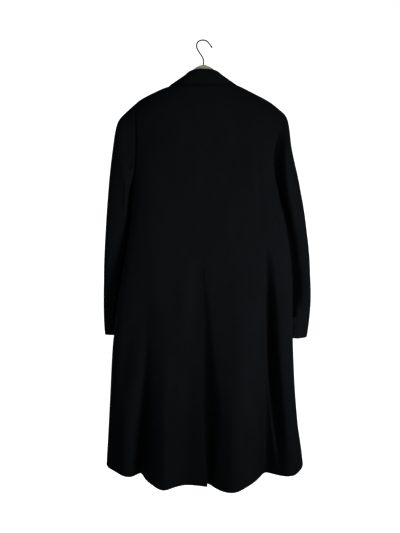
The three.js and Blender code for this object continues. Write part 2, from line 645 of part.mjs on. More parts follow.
// ---------------------------------------------------------------- hanger
function hangerBody() {
  const around = 12;
  const mirrored = ARM_SECTIONS.slice(1).map((row) => ({ ...row, out: -row.out })).reverse();
  const seated = (out) => shoulderDrop(out) + CLOTH / 2 + HANGER.clearance;
  const rings = [...mirrored, ...ARM_SECTIONS].map(({ out, top, height, depth }) =>
    Array.from({ length: around }, (_, k) => {
      const turn = (2 * PI * k) / around;
      const middle = (top ?? seated(out)) + height / 2;
      return new THREE.Vector3(out, depth * cos(turn), -middle + (height / 2) * sin(turn));
    }),
  );
  const positions = rings.flat().flatMap((point) => point.toArray());
  const triangles = [];
  for (let i = 0; i < rings.length - 1; i += 1) {
    for (let k = 0; k < around; k += 1) {
      const next = (k + 1) % around;
      const [a, b] = [i * around + k, i * around + next];
      const [c, d] = [a + around, b + around];
      triangles.push(a, b, d, a, d, c);
    }
  }
  const last = (rings.length - 1) * around;
  for (let k = 1; k < around - 1; k += 1) {
    triangles.push(0, k + 1, k, last, last + k, last + k + 1);
  }
  const geometry = new THREE.BufferGeometry();
  geometry.setAttribute("position", new THREE.Float32BufferAttribute(positions, 3));
  geometry.setIndex(triangles);
  return geometry;
}

function hookGeometry() {
  const path = new THREE.CatmullRomCurve3(HOOK_PATH.map(([x, z]) => new THREE.Vector3(x, 0, z)));
  const wire = new THREE.Shape().absarc(0, 0, HANGER.wireRadius, 0, 2 * PI);
  return new THREE.ExtrudeGeometry(wire, { steps: 32, curveSegments: 4, extrudePath: path });
}

// ---------------------------------------------------------------- solids and materials
const wool = new THREE.MeshStandardMaterial({ color: 0x151617, roughness: 0.92, metalness: 0 });
const horn = new THREE.MeshStandardMaterial({ color: 0x121110, roughness: 0.35, metalness: 0 });
const plastic = new THREE.MeshStandardMaterial({ color: 0xa9aa92, roughness: 0.5, metalness: 0 });
const steel = new THREE.MeshStandardMaterial({ color: 0x55524f, roughness: 0.3, metalness: 1 });

const coat = new THREE.Group();
function add(name, geometry, material) {
  const mesh = new THREE.Mesh(geometry, material);
  mesh.name = name;
  coat.add(mesh);
  return mesh;
}

const wasm = await Module();
wasm.setup();
const { mergeVertices } = await import("three/addons/utils/BufferGeometryUtils.js");

function solidOf(geometry) {
  const bare = geometry.clone();
  bare.deleteAttribute("normal");
  bare.deleteAttribute("uv");
  const merged = mergeVertices(bare, 1e-3);
  return new wasm.Manifold(
    new wasm.Mesh({
      numProp: 3,
      vertProperties: merged.attributes.position.array,
      triVerts: new Uint32Array(merged.index.array),
    }),
  );
}

function geometryOf(solid) {
  const { vertProperties, triVerts } = solid.getMesh();
  const geometry = new THREE.BufferGeometry();
  geometry.setAttribute("position", new THREE.BufferAttribute(vertProperties, 3));
  geometry.setIndex(new THREE.BufferAttribute(triVerts, 1));
  return geometry;
}

add("back_left", backLeft(), wool);
add("back_right", backRight(), wool);
for (const side of ["left", "right"]) {
  add(`front_${side}`, frontPanel(side), wool);
  add(`lapel_${side}`, lapel(side), wool);
  add(`sleeve_top_${side}`, sleeve(side, "top"), wool);
  add(`sleeve_under_${side}`, sleeve(side, "under"), wool);
}
add("collar", collar(), wool);

BUTTON.drops.forEach((drop, index) => {
  const seat = bodyPoint("front", 0, drop, FRONT.lift + CLOTH / 2 + 0.9);
  const button = add(`button_${index + 1}`, buttonGeometry(), horn);
  button.position.copy(seat);
  button.rotation.x = PI / 2;
});

// The hanger's hole for the hook is cut a little wider than the wire.
const hook = hookGeometry();
const hole = new THREE.CylinderGeometry(HANGER.wireRadius + 0.45, HANGER.wireRadius + 0.45, 30, 12)
  .rotateX(PI / 2)
  .translate(0, 0, -HANGER.capDrop);
add("hanger", geometryOf(solidOf(hangerBody()).subtract(solidOf(hole))), plastic);
add("hanger_hook", hook, steel);

export default coat;
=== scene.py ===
# %% [markdown]
# # A black wool overcoat on its hanger
# The coat hangs buttoned on a moulded hanger with a wire hook. Its cut pieces of cloth were
# already made as thin solid walls, in metres, with the hook's bend at the origin, the coat's
# front towards -Y and the wearer's left towards +X. This lesson turns those plain walls into
# cloth: it smooths each piece, presses creases and seams into it, gives it its thickness back,
# and then makes the wool, the buttons, the hanger and the stitching.
#
# The first cell loads the plain part. Every object that comes in is selected, so the small
# helper `only` matters from the start: an operator works on all that is selected.

# %% Load the plain part
import json
import math

import bpy
import numpy as np
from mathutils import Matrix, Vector

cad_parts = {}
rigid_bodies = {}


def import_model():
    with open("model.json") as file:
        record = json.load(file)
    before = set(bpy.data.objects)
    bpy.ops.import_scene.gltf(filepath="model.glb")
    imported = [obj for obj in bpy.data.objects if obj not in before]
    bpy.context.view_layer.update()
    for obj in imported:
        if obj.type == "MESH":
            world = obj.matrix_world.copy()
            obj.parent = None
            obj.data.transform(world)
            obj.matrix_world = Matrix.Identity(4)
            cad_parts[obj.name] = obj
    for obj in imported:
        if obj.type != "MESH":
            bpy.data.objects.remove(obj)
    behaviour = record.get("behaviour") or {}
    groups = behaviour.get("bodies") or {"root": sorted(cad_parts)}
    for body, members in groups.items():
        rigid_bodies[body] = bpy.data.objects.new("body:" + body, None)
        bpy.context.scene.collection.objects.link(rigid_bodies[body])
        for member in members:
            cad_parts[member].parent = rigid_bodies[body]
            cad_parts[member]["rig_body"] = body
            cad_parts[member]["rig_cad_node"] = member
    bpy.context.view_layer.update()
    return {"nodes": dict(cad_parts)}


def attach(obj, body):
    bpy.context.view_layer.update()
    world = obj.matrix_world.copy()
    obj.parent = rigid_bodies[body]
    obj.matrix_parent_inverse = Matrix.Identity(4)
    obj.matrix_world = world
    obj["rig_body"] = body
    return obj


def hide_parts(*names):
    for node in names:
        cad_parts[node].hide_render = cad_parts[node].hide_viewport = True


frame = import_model()
nodes = frame["nodes"]


def only(piece):
    """Selects one object and nothing else."""
    if bpy.context.object and bpy.context.object.mode != "OBJECT":
        bpy.ops.object.mode_set(mode="OBJECT")
    bpy.ops.object.select_all(action="DESELECT")
    piece.select_set(True)
    bpy.context.view_layer.objects.active = piece


print("plain pieces:", ", ".join(sorted(nodes)))

# %% [markdown]
# ## The camera
# The coat is seen level, from straight behind, at the height of its middle. A long coat shows
# its depth at the hem: the near folds hang lower in the picture than the sides, and how much
# lower says how far away the camera stands. Here that is 2.1 m. `Sensor fit` is vertical
# because the picture is taller than it is wide.

# %% Camera
CAMERA_PLACE = (0.0103, 2.1, -0.664)
SENSOR_HEIGHT = 24.0
PICTURE_HEIGHT = 533  # pixels
FOCAL_PIXELS = 714  # the focal length, in pixels of the picture
bpy.ops.object.select_all(action="DESELECT")
bpy.ops.object.camera_add(location=CAMERA_PLACE, rotation=(math.radians(90), 0, math.radians(180)))
camera = bpy.context.object
camera.name = "camera"
camera.data.sensor_fit = "VERTICAL"
camera.data.sensor_height = SENSOR_HEIGHT
camera.data.lens = SENSOR_HEIGHT * FOCAL_PIXELS / PICTURE_HEIGHT
bpy.context.scene.camera = camera
print("lens:", round(camera.data.lens, 2), "mm on a 24 mm high sensor")

# %% [markdown]
# ## Floor, paper and lamps
# The hook hangs from a rail 1.75 m above a pale floor. The floor curves up into a pale wall
# well in front of the coat, as a studio's paper roll does, so no line shows where they
# meet. It starts as a plane; its far edge is extruded up and a bevel makes the curve. A new
# primitive is selected all over, so a helper first deselects everything in edit mode and then
# selects edges or faces by their place.

# %% Choose edges or faces by their place
def pick(piece, kind, chosen):
    """In edit mode, selects the edges or faces for which chosen(centre, part) is true."""
    only(piece)
    bpy.ops.object.mode_set(mode="EDIT")
    bpy.ops.mesh.select_mode(type=kind)
    bpy.ops.mesh.select_all(action="DESELECT")
    bpy.ops.object.mode_set(mode="OBJECT")
    points = piece.data.vertices
    count = 0
    for part in piece.data.edges if kind == "EDGE" else piece.data.polygons:
        centre = sum((points[number].co for number in part.vertices), Vector()) / len(part.vertices)
        if chosen(centre, part):
            part.select = True
            count += 1
    bpy.ops.object.mode_set(mode="EDIT")
    return count


# %% Studio floor
FLOOR_HEIGHT = -1.75
bpy.ops.mesh.primitive_plane_add(size=2, location=(0, 0, FLOOR_HEIGHT))
floor = bpy.context.object
floor.name = "studio_floor"
floor.scale = (4.5, 3.6, 1)
bpy.ops.object.transform_apply(location=True, rotation=True, scale=True)
pick(floor, "EDGE", lambda centre, edge: centre.y < -3)
bpy.ops.mesh.extrude_region_move(TRANSFORM_OT_translate={"value": (0, 0, 5.0)})
bpy.ops.object.mode_set(mode="OBJECT")
curve = floor.modifiers.new("paper curve", "BEVEL")
curve.width = 1.1
curve.segments = 14
curve.limit_method = "ANGLE"
bpy.ops.object.modifier_apply(modifier=curve.name)
bpy.ops.object.shade_smooth()
print("floor faces:", len(floor.data.polygons))

# %% [markdown]
# Paper behind a black coat is lit until it is quite white, and a lamp for it would spill onto
# the wool. So the far part of the paper glows instead, which keeps the two lights apart. The
# near part only reflects: a bright floor would light the coat from below. The glow fades in
# with a Map Range node on the object's own Y.

# %% Pale paper
paper = bpy.data.materials.new("studio_paper")
paper.use_nodes = True
paper_nodes = paper.node_tree.nodes
paper_links = paper.node_tree.links
paper_shader = paper_nodes["Principled BSDF"]
paper_shader.inputs["Base Color"].default_value = (0.8, 0.8, 0.8, 1)
paper_shader.inputs["Roughness"].default_value = 0.9
paper_shader.inputs["Specular IOR Level"].default_value = 0.1
paper_shader.inputs["Emission Color"].default_value = (1, 1, 1, 1)
paper_place = paper_nodes.new("ShaderNodeTexCoord")
paper_axes = paper_nodes.new("ShaderNodeSeparateXYZ")
glow = paper_nodes.new("ShaderNodeMapRange")
glow.inputs["From Min"].default_value = 0.1
glow.inputs["From Max"].default_value = -0.6
glow.inputs["To Min"].default_value = 0.0
glow.inputs["To Max"].default_value = 0.95
paper_links.new(paper_place.outputs["Object"], paper_axes.inputs["Vector"])
paper_links.new(paper_axes.outputs["Y"], glow.inputs["Value"])
paper_links.new(glow.outputs["Result"], paper_shader.inputs["Emission Strength"])
floor.data.materials.append(paper)
print("paper nodes:", len(paper_nodes))

# %% [markdown]
# Black cloth shows its form only through the angle of its light. One large soft lamp stands
# level with the coat's middle, to the wearer's right and behind, so the slopes that face it
# catch the light and those that turn away go dark. It stands near, so its light falls off
# across the back. Two weak ones with narrow beams lift the collar and the edge of the left
# sleeve, and a fourth lights the buttoned front, which the camera doesn't see.
# The world around is a dim, even white, and looks white itself where it shows.

# %% Lamps
def soft_lamp(name, place, towards, size, watts):
    """A square area lamp that points at a place."""
    bpy.ops.object.light_add(type="AREA", location=place)
    lamp = bpy.context.object
    lamp.name = name
    lamp.data.size = size
    lamp.data.energy = watts
    lamp.visible_camera = False
    aim = Vector(towards) - Vector(place)
    lamp.rotation_euler = aim.to_track_quat("-Z", "Y").to_euler()
    return lamp


key_lamp = soft_lamp("key_lamp", (-1.0, 1.15, -0.72), (0.12, 0, -0.72), 0.6, 4.75)
key_lamp.data.spread = math.radians(80)
collar_lamp = soft_lamp("collar_lamp", (0.2, 1.5, 0.7), (0, 0.06, -0.12), 0.5, 0.2)
collar_lamp.data.spread = math.radians(24)
sleeve_lamp = soft_lamp("sleeve_lamp", (1.15, 1.0, -0.5), (0.27, 0, -0.58), 0.5, 0.14)
sleeve_lamp.data.spread = math.radians(40)
soft_lamp("front_lamp", (1.3, -1.6, -0.2), (0, 0, -0.6), 0.9, 16)

world = bpy.data.worlds.new("light_tent")
world.use_nodes = True
world_nodes = world.node_tree.nodes
dim = world_nodes["Background"]
dim.inputs["Color"].default_value = (1, 1, 1, 1)
dim.inputs["Strength"].default_value = 0.13
white = world_nodes.new("ShaderNodeBackground")
white.inputs["Color"].default_value = (1, 1, 1, 1)
white.inputs["Strength"].default_value = 1.0
ray = world_nodes.new("ShaderNodeLightPath")
either = world_nodes.new("ShaderNodeMixShader")
world.node_tree.links.new(ray.outputs["Is Camera Ray"], either.inputs[0])
world.node_tree.links.new(dim.outputs["Background"], either.inputs[1])
world.node_tree.links.new(white.outputs["Background"], either.inputs[2])
world.node_tree.links.new(either.outputs["Shader"], world_nodes["World Output"].inputs["Surface"])
bpy.context.scene.world = world
bpy.context.scene.view_settings.view_transform = "Standard"

# %% [markdown]
# ## Black wool
# Overcoating is milled: the weave is felted shut and the surface is a short, dense nap. It is
# close to black and quite matt, but the fibres that stand up catch light at a glancing angle,
# which is what sheen does. The nap is three layers of noise on object coordinates, which are
# metres here: fibres under a millimetre, tufts of a few millimetres, and broad patches where
# the nap lies a little differently.

# %% Wool
def noise(tree, scale, detail, coordinates, stretch=(1, 1, 1)):
    """A noise texture that is read in metres, drawn out along one axis if wanted."""
    mapping = tree.nodes.new("ShaderNodeMapping")
    mapping.inputs["Scale"].default_value = stretch
    texture = tree.nodes.new("ShaderNodeTexNoise")
    texture.inputs["Scale"].default_value = scale
    texture.inputs["Detail"].default_value = detail
    tree.links.new(coordinates.outputs["Object"], mapping.inputs["Vector"])
    tree.links.new(mapping.outputs["Vector"], texture.inputs["Vector"])
    return texture


def cloth_material(name, dark, light, nap, rough=(0.82, 0.97), sheen=0.02):
    """Matt napped cloth between two colours, with a bump of nap millimetres."""
    material = bpy.data.materials.new(name)
    material.use_nodes = True
    tree = material.node_tree
    shader = tree.nodes["Principled BSDF"]
    place = tree.nodes.new("ShaderNodeTexCoord")
    fibres = noise(tree, 1500, 3, place, (1, 1, 0.45))
    tufts = noise(tree, 260, 4, place)
    patches = noise(tree, 22, 3, place, (1, 1, 0.4))

    mixed = tree.nodes.new("ShaderNodeMix")
    mixed.data_type = "FLOAT"
    mixed.inputs["Factor"].default_value = 0.45
    tree.links.new(tufts.outputs["Fac"], mixed.inputs["A"])
    tree.links.new(patches.outputs["Fac"], mixed.inputs["B"])
    colours = tree.nodes.new("ShaderNodeValToRGB")
    colours.color_ramp.elements[0].position = 0.36
    colours.color_ramp.elements[0].color = (*dark, 1)
    colours.color_ramp.elements[1].position = 0.66
    colours.color_ramp.elements[1].color = (*light, 1)
    tree.links.new(mixed.outputs["Result"], colours.inputs["Fac"])
    tree.links.new(colours.outputs["Color"], shader.inputs["Base Color"])

    roughness = tree.nodes.new("ShaderNodeMapRange")
    roughness.inputs["To Min"].default_value = rough[0]
    roughness.inputs["To Max"].default_value = rough[1]
    tree.links.new(tufts.outputs["Fac"], roughness.inputs["Value"])
    tree.links.new(roughness.outputs["Result"], shader.inputs["Roughness"])

    heights = tree.nodes.new("ShaderNodeMath")
    heights.operation = "ADD"
    tree.links.new(fibres.outputs["Fac"], heights.inputs[0])
    tree.links.new(tufts.outputs["Fac"], heights.inputs[1])
    bump = tree.nodes.new("ShaderNodeBump")
    bump.inputs["Distance"].default_value = nap / 1000
    bump.inputs["Strength"].default_value = 0.6
    tree.links.new(heights.outputs["Value"], bump.inputs["Height"])
    tree.links.new(bump.outputs["Normal"], shader.inputs["Normal"])

    shader.inputs["Specular IOR Level"].default_value = 0.0
    shader.inputs["Sheen Weight"].default_value = sheen
    shader.inputs["Sheen Roughness"].default_value = 0.45
    shader.inputs["Sheen Tint"].default_value = (0.5, 0.54, 0.6, 1)
    return material


wool = cloth_material("black_wool", (0.0042, 0.0051, 0.0058), (0.0055, 0.0066, 0.0075), 0.5, sheen=0.008)
print("wool nodes:", len(wool.node_tree.nodes))

# %% [markdown]
# ## From a plain wall to a sheet of cloth
# Each plain wall is a closed box of triangles 2 mm thick. A tailor thinks of a single sheet, so
# a copy of the wall is merged, its triangles are paired into quads, and only its outer layer is
# kept. The layer is found by selecting one face that surely lies on it and growing the
# selection over every edge that bends less than the wall's own rim, which turns through about
# ninety degrees. A subdivision surface then rounds the facets away.

# %% Sheet from a wall
def faces_of(piece):
    """Centres and normals of a mesh's faces, as arrays."""
    count = len(piece.data.polygons)
    centres = np.empty(count * 3)
    normals = np.empty(count * 3)
    piece.data.polygons.foreach_get("center", centres)
    piece.data.polygons.foreach_get("normal", normals)
    return centres.reshape(-1, 3), normals.reshape(-1, 3)


def copy_of(node, name):
    """A merged copy of a plain piece, free of the body that it rode on."""
    only(nodes[node])
    bpy.ops.object.duplicate()
    piece = bpy.context.object
    bpy.ops.object.parent_clear(type="CLEAR_KEEP_TRANSFORM")
    piece.name = name
    piece.data.name = name
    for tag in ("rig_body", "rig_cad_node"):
        if tag in piece:
            del piece[tag]
    only(piece)
    bpy.ops.object.mode_set(mode="EDIT")
    bpy.ops.mesh.select_all(action="SELECT")
    bpy.ops.mesh.remove_doubles(threshold=0.00002)
    bpy.ops.mesh.tris_convert_to_quads(face_threshold=math.radians(75), shape_threshold=math.radians(75))
    bpy.ops.object.mode_set(mode="OBJECT")
    return piece


def sheet_from(node, name, outermost, levels=3, turn=62):
    """The outer layer of a plain wall as a smooth open sheet. outermost picks its first face."""
    piece = copy_of(node, name)
    centres, normals = faces_of(piece)
    first = int(np.argmax(outermost(centres, normals)))
    only(piece)
    bpy.ops.object.mode_set(mode="EDIT")
    bpy.ops.mesh.select_mode(type="FACE")
    bpy.ops.mesh.select_all(action="DESELECT")
    bpy.ops.object.mode_set(mode="OBJECT")
    piece.data.polygons[first].select = True
    bpy.ops.object.mode_set(mode="EDIT")
    bpy.ops.mesh.faces_select_linked_flat(sharpness=math.radians(turn))
    bpy.ops.mesh.select_all(action="INVERT")
    bpy.ops.mesh.delete(type="FACE")
    bpy.ops.object.mode_set(mode="OBJECT")
    triangles = sum(len(face.vertices) == 3 for face in piece.data.polygons)
    quads = len(piece.data.polygons) - triangles
    smooth = piece.modifiers.new("smooth", "SUBSURF")
    smooth.levels = levels
    smooth.render_levels = levels
    smooth.boundary_smooth = "PRESERVE_CORNERS"
    bpy.ops.object.modifier_apply(modifier=smooth.name)
    print(f"{name}: {quads} quads and {triangles} triangles, {len(piece.data.polygons)} faces when smooth")
    return piece


# %% All eleven sheets
def facing(x, y):
    """Scores faces by how much they look, and lie, towards a side, near the piece's middle height."""
    side = np.array((x, y, 0.0))

    def score(centres, normals):
        off_middle = np.abs(centres[:, 2] - centres[:, 2].mean())
        return normals @ side + 3 * centres @ side - 2 * off_middle

    return score


back_left = sheet_from("back_left", "back_left_cloth", facing(0, 1))
back_right = sheet_from("back_right", "back_right_cloth", facing(0, 1))
front_left = sheet_from("front_left", "front_left_cloth", facing(0, -1))
front_right = sheet_from("front_right", "front_right_cloth", facing(0, -1))
lapel_left = sheet_from("lapel_left", "lapel_left_cloth", facing(0, -1))
lapel_right = sheet_from("lapel_right", "lapel_right_cloth", facing(0, -1))
collar = sheet_from("collar", "collar_cloth", facing(0, 1))
sleeve_top_left = sheet_from("sleeve_top_left", "sleeve_top_left_cloth", facing(1, 0))
sleeve_top_right = sheet_from("sleeve_top_right", "sleeve_top_right_cloth", facing(-1, 0))
sleeve_under_left = sheet_from("sleeve_under_left", "sleeve_under_left_cloth", facing(-1, 0))
sleeve_under_right = sheet_from("sleeve_under_right", "sleeve_under_right_cloth", facing(1, 0))
SHEETS = {
    "back_left": back_left,
    "back_right": back_right,
    "front_left": front_left,
    "front_right": front_right,
    "lapel_left": lapel_left,
    "lapel_right": lapel_right,
    "collar": collar,
    "sleeve_top_left": sleeve_top_left,
    "sleeve_top_right": sleeve_top_right,
    "sleeve_under_left": sleeve_under_left,
    "sleeve_under_right": sleeve_under_right,
}

# %% [markdown]
# ## Creases
# Heavy wool doesn't wrinkle sharply: it falls in long soft troughs and ridges. Each one here is
# a row table, and each row says where the crease's line lies, how deep it is there, and how
# far it fades out towards the wearer's right and left. A smooth path goes through the rows, and
# every point of the cloth near the path is pressed along the side's own direction. A negative
# depth raises a ridge. Points that turn away from the side are left alone, so a crease on the
# back doesn't reach round to the front.

# %% Points and edges as arrays
MM = 0.001


def positions(piece):
    """The places of a mesh's points, a row for each."""
    rows = np.empty(len(piece.data.vertices) * 3)
    piece.data.vertices.foreach_get("co", rows)
    return rows.reshape(-1, 3)


def place(piece, rows):
    """Puts a mesh's points at these places."""
    piece.data.vertices.foreach_set("co", rows.ravel())
    piece.data.update()


def outward(piece):
    """The outward direction at each of a mesh's points."""
    rows = np.empty(len(piece.data.vertices) * 3)
    piece.data.vertex_normals.foreach_get("vector", rows)
    return rows.reshape(-1, 3)


def open_edges(piece):
    """The point numbers of the edges that only one face uses, two to a row."""
    uses = np.zeros(len(piece.data.edges), int)
    loops = np.empty(len(piece.data.loops), int)
    piece.data.loops.foreach_get("edge_index", loops)
    np.add.at(uses, loops, 1)
    ends = np.empty(len(piece.data.edges) * 2, int)
    piece.data.edges.foreach_get("vertices", ends)
    return ends.reshape(-1, 2)[uses == 1]


def nearest_on(lines, spots):
    """For each spot: the nearest place on line pieces (count, 2, 3), how far, and which piece."""
    start = lines[:, 0]
    run = lines[:, 1] - start
    length = np.maximum((run**2).sum(1), 1e-12)
    best_place = np.empty_like(spots)
    best_far = np.empty(len(spots))
    best_line = np.empty(len(spots), int)
    for low in range(0, len(spots), 2000):
        some = spots[low : low + 2000]
        away = some[:, None] - start[None]
        share = np.clip((away * run).sum(2) / length, 0, 1)
        on = start[None] + share[..., None] * run[None]
        far = np.linalg.norm(some[:, None] - on, axis=2)
        best = far.argmin(1)
        row = np.arange(len(some))
        best_place[low : low + 2000] = on[row, best]
        best_far[low : low + 2000] = far[row, best]
        best_line[low : low + 2000] = best
    return best_place, best_far, best_line


# %% [markdown]
# The size that each piece was cut to is measured now, before any crease draws the cloth out. A
# panel or a top sleeve is as wide and as long as the longest unbroken line that level or upright
# cuts leave on it. A lapel or an under sleeve is as long as it reaches along its own long axis.
# The collar is curved, so it counts as the rectangle with its own area and edge length.

# %% Measure each cut
def longest_line(piece, axis, count=50):
    """The longest unbroken line that cuts straight across an axis leave on a sheet of quads."""
    rows = positions(piece)
    ends = np.empty(len(piece.data.edges) * 2, int)
    piece.data.edges.foreach_get("vertices", ends)
    ends = ends.reshape(-1, 2)
    sides = np.empty(len(piece.data.loops), int)
    piece.data.loops.foreach_get("edge_index", sides)
    sides = sides.reshape(-1, 4)
    low, high = rows[:, axis].min(), rows[:, axis].max()
    longest = 0.0
    for level in low + (high - low) * np.linspace(0.01, 0.99, count):
        above = rows[ends, axis] - level
        crossed = above[:, 0] * above[:, 1] < 0
        share = np.where(crossed, above[:, 0] / np.where(crossed, above[:, 0] - above[:, 1], 1), 0)
        spots = rows[ends[:, 0]] + share[:, None] * (rows[ends[:, 1]] - rows[ends[:, 0]])
        hits = crossed[sides]
        whole = hits.sum(1) == 2
        pairs = sides[whole][hits[whole]].reshape(-1, 2)
        lengths = np.linalg.norm(spots[pairs[:, 0]] - spots[pairs[:, 1]], axis=1)
        leader = {int(edge): int(edge) for edge in pairs.ravel()}

        def lead(edge):
            while leader[edge] != edge:
                leader[edge] = leader[leader[edge]]
                edge = leader[edge]
            return edge

        for one, two in pairs.tolist():
            leader[lead(one)] = lead(two)
        totals = {}
        for (one, _), length in zip(pairs.tolist(), lengths.tolist()):
            totals[lead(one)] = totals.get(lead(one), 0.0) + length
        longest = max(longest, *totals.values())
    return longest


def long_reach(piece):
    """How far a piece reaches along its own long axis."""
    rows = positions(piece)
    rows -= rows.mean(0)
    _, axes = np.linalg.eigh(rows.T @ rows)
    return float(np.ptp(rows @ axes[:, -1]))


def as_rectangle(piece, area, step=0.005):
    """Length and width of the rectangle with a piece's area and edge, up to whole steps."""
    rows = positions(piece)
    edge = rows[open_edges(piece)]
    half = np.linalg.norm(edge[:, 0] - edge[:, 1], axis=1).sum() / 2
    spread = math.sqrt(half * half - 4 * area)
    return [math.ceil(size / step) * step for size in ((half + spread) / 2, (half - spread) / 2)]


X, Y, Z = 0, 1, 2
FLAT_SIZES = {}
for node, piece in SHEETS.items():
    area = round(sum(face.area for face in piece.data.polygons), 4)
    if node == "collar":
        width, length = as_rectangle(piece, area)
    else:
        width = longest_line(piece, Z)
        if node.startswith(("back", "front")):
            length = longest_line(piece, X)
        elif node.startswith("sleeve_top"):
            length = longest_line(piece, Y)
        else:
            length = long_reach(piece)
    FLAT_SIZES[node] = (round(width, 3), round(length, 3), area)
    print(f"{node}: {width * 1000:.0f} by {length * 1000:.0f} mm, {area} square metres")

# %% Press creases
def smooth_path(rows, steps=40):
    """A smooth curve through rows of numbers, with this many places between two rows."""
    rows = np.asarray(rows, float)
    ends = np.vstack((2 * rows[0] - rows[1], rows, 2 * rows[-1] - rows[-2]))
    share = np.linspace(0, 1, steps, endpoint=False)[:, None]
    curves = []
    for a, b, c, d in zip(ends, ends[1:], ends[2:], ends[3:]):
        bend = (2 * a - 5 * b + 4 * c - d) * share**2
        twist = (3 * b - a - 3 * c + d) * share**3
        curves.append(0.5 * (2 * b + (c - a) * share + bend + twist))
    return np.vstack((*curves, rows[-1:]))


def press(pieces, side, creases):
    """Presses creases into cloths from "back", "front", "left", "right" or "top".

    A crease is a list of rows: across, drop below the rail, depth, and how far it fades to its
    two sides, all in millimetres. across is X on the back and front, and Y on the left and
    right. From the top, the first two are X and Y. Where a crease runs down, its first fade is
    towards the lower values of across.
    """
    axis, sign, first, second = {
        "back": (1, 1, 0, 2),
        "front": (1, -1, 0, 2),
        "left": (0, 1, 1, 2),
        "right": (0, -1, 1, 2),
        "top": (2, 1, 0, 1),
    }[side]
    for piece in pieces:
        for crease in creases:
            rows = positions(piece)
            path = smooth_path(crease)
            along = np.gradient(path[:, :2], axis=0)
            along /= np.linalg.norm(along, axis=1)[:, None]
            down = rows[:, second] * (-1 if second == 2 else 1)
            flat = np.column_stack((rows[:, first], down)) / MM
            reach = path[:, 3:].max() + 1
            low, high = path[:, :2].min(0) - reach, path[:, :2].max(0) + reach
            near = np.flatnonzero(((flat > low) & (flat < high)).all(1))
            if not len(near):
                continue
            away = flat[near, None] - path[None, :, :2]
            best = (away**2).sum(2).argmin(1)
            gap = away[np.arange(len(near)), best]
            line = along[best]
            beside = gap[:, 0] * line[:, 1] - gap[:, 1] * line[:, 0]
            width = np.where(beside < 0, path[best, 3], path[best, 4])
            fade = 0.5 + 0.5 * np.cos(np.pi * np.minimum(np.linalg.norm(gap, axis=1) / width, 1))
            looks = np.clip(outward(piece)[near, axis] * sign / 0.35, 0, 1)
            rows[near, axis] -= sign * path[best, 2] * fade * looks**2 * (3 - 2 * looks) * MM
            place(piece, rows)
    print(f"pressed from the {side}: {len(creases)} on {', '.join(piece.name for piece in pieces)}")


# %% [markdown]
# The back has a deep fold on the right, a narrower one on the left, and a vent that its right
# side falls in behind. The rest is soft: a few drags under the shoulder and above the vent.

# %% Creases on the back
BACKS = (back_left, back_right)
press(BACKS, "back", [
    # soft drags below the right shoulder blade
    [(-150, 318, 0, 16, 14), (-156, 400, 3.2, 18, 14), (-159, 490, 4, 18, 14), (-163, 590, 0, 14, 12)],
    [(-198, 492, 0, 7, 8), (-204, 515, 3.5, 8, 9), (-211, 540, 3.5, 8, 9), (-217, 566, 0, 7, 7)],
    [(-96, 250, 0, 22, 18), (-104, 330, 1.6, 26, 20), (-112, 430, 0, 20, 18)],
    # the middle, above and beside the vent
    [(14, 628, 0, 26, 24), (20, 700, 4, 32, 30), (24, 800, 4, 32, 34), (30, 900, 0, 26, 30)],
    [(66, 690, 0, 20, 20), (64, 755, -2.2, 24, 26), (62, 830, 0, 20, 20)],
    [(74, 880, 0, 18, 20), (86, 1000, 2.4, 20, 24), (94, 1130, 0, 16, 20)],
    [(-120, 820, 0, 20, 18), (-128, 930, 2, 22, 20), (-134, 1080, 0, 18, 16)],
])
press([back_right], "back", [
    # the right fold: its near lip drops steeply, and it rises gently towards the side
    [(-176, 600, 0, 14, 5), (-178, 660, 10, 24, 5), (-180, 760, 22, 32, 5), (-184, 900, 26, 36, 5),
     (-191, 1010, 24, 38, 6), (-202, 1110, 17, 34, 8), (-214, 1200, 6, 28, 12), (-218, 1250, 0, 20, 14)],
    # the right back falls in behind the vent's edge
    [(-2, 690, 0, 12, 40), (-2, 800, 7, 22, 40), (0, 930, 14, 36, 40), (0, 1060, 20, 54, 40),
     (-4, 1160, 16, 44, 40), (-8, 1270, 8, 26, 40)],
])

press([back_left], "back", [
    # the left fold stays narrow: the cloth beyond it lies nearly level
    [(176, 820, 0, 26, 40), (186, 930, -12, 28, 46), (198, 1040, -22, 32, 52), (207, 1150, -28, 36, 56),
     (212, 1290, -28, 38, 56)],
])

# the left side stands out a little just below the underarm, up to the sleeve
press((back_left, front_left), "left", [[(0, 436, 0, 26, 26), (4, 462, -3, 30, 30), (4, 476, -2.4, 30, 30),
                                         (6, 520, 0, 26, 26)]])

# the collar's fall stands off the back along its lower edge
press(BACKS, "back", [[(-98, 138, 0, 4, 5), (-80, 142, 3, 5, 6), (-50, 145.5, 5, 6, 7), (0, 144.5, 5, 6, 7),
                       (50, 145.5, 5, 6, 7), (80, 142, 3, 5, 6), (98, 138, 0, 4, 5)]])

# %% [markdown]
# The front has the same kinds of folds: drags from the shoulders towards the top button, short
# pulls where the buttons hold it closed, and long falls in the skirt.

